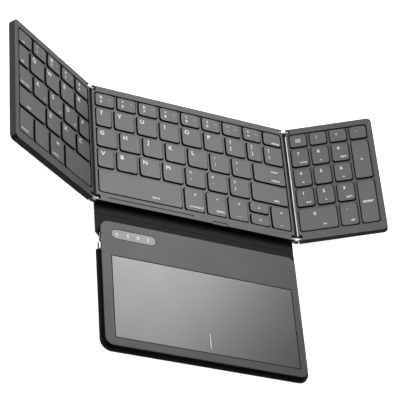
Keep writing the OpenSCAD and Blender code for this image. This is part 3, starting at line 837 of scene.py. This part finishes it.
softened("touch_plate", "touchPlate", "touch_panel", flat, padSet["plateEdge"], padSet["steps"], paintOpenings,
         [sideBlackAndShade])
softened("touch_case", "touchCase", "touch_panel", flat, padSet["caseEdge"], padSet["steps"])
makeTouchSurface()
print("touchpad panel made")


# status window with a dark rim and four printed signs

windowSet = {
    "edge": 0.3,
    "steps": 3,
    "flat": 0.97,           # faces steeper than this are the dark rim
    "signs": (("c", -64.2), ("1", -55.9), ("o", -48.3), ("i", -40.7)),
    "signSize": 4.4,
    "signBold": 0.2,
}


def paintRim(bm):
    for face in bm.faces:
        if face.normal.z < windowSet["flat"]:
            face.material_index = 1


def makeSigns():
    low, high = nodeBox("status_window")
    bm = bmesh.new()
    for sign, x in windowSet["signs"]:
        glyph = addMesh(bm, textMesh(sign, windowSet["signSize"], windowSet["signBold"]))[0]
        signLow, signHigh = span(glyph)
        spot = Vector((x * mm, (low.y + high.y) / 2, high.z + printHeight / 2))
        bmesh.ops.translate(bm, vec=spot - (signLow + signHigh) / 2, verts=glyph)
    finishPiece(bm, "statusSigns", "touch_panel", flat, [legendWhite], "lamp_white")


softened("status_window", "statusWindow", "touch_panel", flat, windowSet["edge"], windowSet["steps"], paintRim,
         [sideBlackAndShade])
makeSigns()


# a box between two corners, in mm
def addBox(bm, low, high, paint=0, edge=0.0):
    box = bmesh.new()
    bmesh.ops.create_cube(box, size=1)
    low, high = (Vector(c) * mm for c in (low, high))
    bmesh.ops.scale(box, vec=high - low, verts=box.verts)
    bmesh.ops.translate(box, vec=(high + low) / 2, verts=box.verts)
    if edge:
        bmesh.ops.bevel(box, geom=box.edges[:], offset=edge * mm, segments=2, profile=0.5,
                        affect="EDGES", material=-1)
    for face in box.faces:
        face.material_index = paint
    addShape(bm, box)


# charging socket: the shell, a tongue and its contacts

socketSet = {
    "edge": 0.15,
    "steps": 2,
    "tongueFrom": -75.3,
    "tongueTo": -69.6,
    "tongueWide": 6.7,
    "tongueThick": 0.7,
    "tongueEdge": 0.1,
    "contacts": 6,
    "contactFrom": 0.5,     # from the tongue's free end
    "contactSunk": 0.02,
    "contactWide": 0.35,
    "contactPitch": 0.9,
    "contactLong": 3,
    "contactThick": 0.06,
}


def makeTongue():
    low, high = nodeBox("charging_socket")
    y = (low.y + high.y) / 2 / mm
    z = (low.z + high.z) / 2 / mm
    start, end = socketSet["tongueFrom"], socketSet["tongueTo"]
    wide, thick = socketSet["tongueWide"] / 2, socketSet["tongueThick"] / 2
    bm = bmesh.new()
    addBox(bm, (start, y - wide, z - thick), (end, y + wide, z + thick), 0, socketSet["tongueEdge"])
    half = socketSet["contactWide"] / 2
    near = start + socketSet["contactFrom"]
    far = near + socketSet["contactLong"]
    for i in range(socketSet["contacts"]):
        middle = y + (i - (socketSet["contacts"] - 1) / 2) * socketSet["contactPitch"]
        for side in (-1, 1):
            inner, outer = thick - socketSet["contactSunk"], thick + socketSet["contactThick"]
            below, above = sorted((z + side * inner, z + side * outer))
            addBox(bm, (near, middle - half, below), (far, middle + half, above), 1)
    setShade(bm)
    finishPiece(bm, "socketTongue", "touch_panel", flat, [finishes["hinge_black"], finishes["chrome"]], "hinge_black")


softened("charging_socket", "chargingSocket", "touch_panel", flat, socketSet["edge"], socketSet["steps"])
makeTongue()


# power switch: a stem in the slot and a ridged knob outside the wall

switchSet = {
    "outer": -77.5,
    "wall": -76.12,
    "rise": 0.6,            # knob above and below the stem
    "past": 0.3,            # knob beyond the stem's ends
    "ridges": 5,
    "ridgeWide": 0.5,
    "ridgeHigh": 0.3,
    "ridgeInset": 0.3,
    "sunk": 0.1,            # how far stem and ridges reach into the knob
    "edge": 0.18,
    "stemEdge": 0.08,
    "ridgeEdge": 0.1,
    "faceLean": 0.6,        # least outward X of the normal of a dark face
}


def makeSwitch():
    low, high = (corner / mm for corner in nodeBox("power_switch"))
    bm = bmesh.new()
    past, rise, outer, sunk = (switchSet[key] for key in ("past", "rise", "outer", "sunk"))
    addBox(bm, (switchSet["wall"] - sunk, low.y, low.z), high, 0, switchSet["stemEdge"])
    addBox(bm, (outer, low.y - past, low.z - rise), (switchSet["wall"], high.y + past, high.z + rise), 0,
           switchSet["edge"])
    pitch = (high.y - low.y) / switchSet["ridges"]
    half = switchSet["ridgeWide"] / 2
    reach = rise - switchSet["ridgeInset"]
    for i in range(switchSet["ridges"]):
        y = low.y + (i + 0.5) * pitch
        addBox(bm, (outer - switchSet["ridgeHigh"], y - half, low.z - reach),
               (outer + sunk, y + half, high.z + reach), 1, switchSet["ridgeEdge"])
    for face in bm.faces:
        if face.normal.x < -switchSet["faceLean"]:
            face.material_index = 1
    setShade(bm)
    finishPiece(bm, "switchKnob", "switch_slider", flat, [platedAndHighlight, darkSteel], "switch_grey", ["power_switch"])


makeSwitch()
print("window, socket and switch made")


# hinges: black links with bright plated sides made near-white as a painted highlight, and a ribbed strip that closes
# each gap

hingeSet = {
    "linkEdge": 0.2,
    "facing": 1.25,         # plated thickness at a link's outer side
    "pinEdge": 0.12,
    "steps": 2,
    "web": (2.75, 3.15),    # across the gap, from the first axis
    "webHeight": 1.2,
    "strip": (1.2, 4.7),
    "stripTop": -1.75,
    "stripThick": 0.6,
    "endInset": 0.1,        # strip's ends from the panels' ends
    "capThick": 0.85,
    "capTop": -1.15,
    "ribColumns": (1.35, 3.45),
    "ribWide": 1.1,
    "ribLong": 0.9,
    "ribs": 58,
    "ribHigh": 0.25,
}


def makeHinge(name, side):
    place = panels[name + "Link"]
    body = name + "_link"
    outer = nodeBox(name + "_links")[1].y - hingeSet["facing"] * mm

    def paintInside(bm):
        for y in (-outer, outer):
            cutAt(bm, (0, y, 0), (0, 1, 0))
        for face in bm.faces:
            face.material_index = 1 if abs(face.calc_center_median().y) < outer else 2

    softened(name + "_links", name + "Links", body, place, hingeSet["linkEdge"], hingeSet["steps"], paintInside,
             [finishes["hinge_black"], platedAndHighlight])
    end = nodeBox(name + "_hinge_plate")[1].y / mm
    bm = bmesh.new()

    def across(near, far, low, high, back, front, paint):
        left, right = sorted((side * near, side * far))
        addBox(bm, (left, back, low), (right, front, high), paint)

    top = hingeSet["stripTop"]
    across(*hingeSet["web"], top, hingeSet["webHeight"], -end, end, 0)
    tip = nodeBox(name + "_case")[1].y / mm - hingeSet["endInset"]
    across(*hingeSet["strip"], top - hingeSet["stripThick"], top, -tip, tip, 0)
    for back, front in ((tip - hingeSet["capThick"], tip), (-tip, hingeSet["capThick"] - tip)):
        across(*hingeSet["strip"], top, hingeSet["capTop"], back, front, 0)
    pitch = 2 * end / hingeSet["ribs"]
    half = hingeSet["ribLong"] / 2
    for i in range(hingeSet["ribs"]):
        y = -end + (i + 0.5) * pitch
        for x in hingeSet["ribColumns"]:
            across(x, x + hingeSet["ribWide"], top, top + hingeSet["ribHigh"], y - half, y + half, 1)
    setShade(bm)
    finishPiece(bm, name + "HingeStrip", body, place, [finishes["hinge_black"], finishes["switch_grey"]],
                "hinge_black", [name + "_hinge_plate"])


def paintAll(bm):
    for face in bm.faces:
        face.material_index = 1


makeHinge("left", -1)
makeHinge("right", 1)
for panel, body in panelBodies.items():
    softened(panel + "_pins", panel + "Pins", body, panels[panel], hingeSet["pinEdge"], hingeSet["steps"], paintAll,
             [darkSteel])
print("hinges made")


# screws with a star recess, and rubber feet

screwSet = {
    "segments": 24,
    "perArm": 4,            # segments in one arm of the star, half of them drawn in
    "land": 0.44,           # shares of the head's radius
    "waist": 0.62,
    "depth": 0.3,
}
footSet = {"edge": 0.25, "steps": 3}


def addScrew(bm, low, high):
    screw = bmesh.new()
    radius = (high.x - low.x) / 2
    middle = Vector(((low.x + high.x) / 2, (low.y + high.y) / 2, low.z))
    bmesh.ops.create_circle(screw, cap_ends=True, segments=screwSet["segments"], radius=radius)
    bmesh.ops.translate(screw, vec=middle, verts=screw.verts)
    raiseOutline(screw, high.z - low.z)
    under = [f for f in screw.faces if f.normal.z < -meshSet["upright"]]
    bmesh.ops.inset_region(screw, faces=under, thickness=screwSet["land"] * radius)
    for vert in under[0].verts:
        spoke = vert.co - middle
        step = round(math.atan2(spoke.y, spoke.x) * screwSet["segments"] / (2 * math.pi))
        if step % screwSet["perArm"] >= screwSet["perArm"] / 2:
            vert.co = middle + spoke * screwSet["waist"]
    sunk = bmesh.ops.extrude_face_region(screw, geom=under)["geom"]
    bmesh.ops.translate(screw, vec=(0, 0, screwSet["depth"] * mm),
                        verts=[g for g in sunk if isinstance(g, bmesh.types.BMVert)])
    addShape(bm, screw)


for panel, body in panelBodies.items():
    screws = bmesh.new()
    for low, high in capBoxes(panel + "_screws", panels[panel]):
        addScrew(screws, low, high)
    setShade(screws)
    finishPiece(screws, panel + "Screws", body, panels[panel], [finishes["screw_steel"]], "screw_steel",
                [panel + "_screws"])
for name, body in (("center", "middle_panel"), ("touch", "touch_panel")):
    softened(name + "_feet", name + "Feet", body, flat, footSet["edge"], footSet["steps"])
print("screws and feet made")
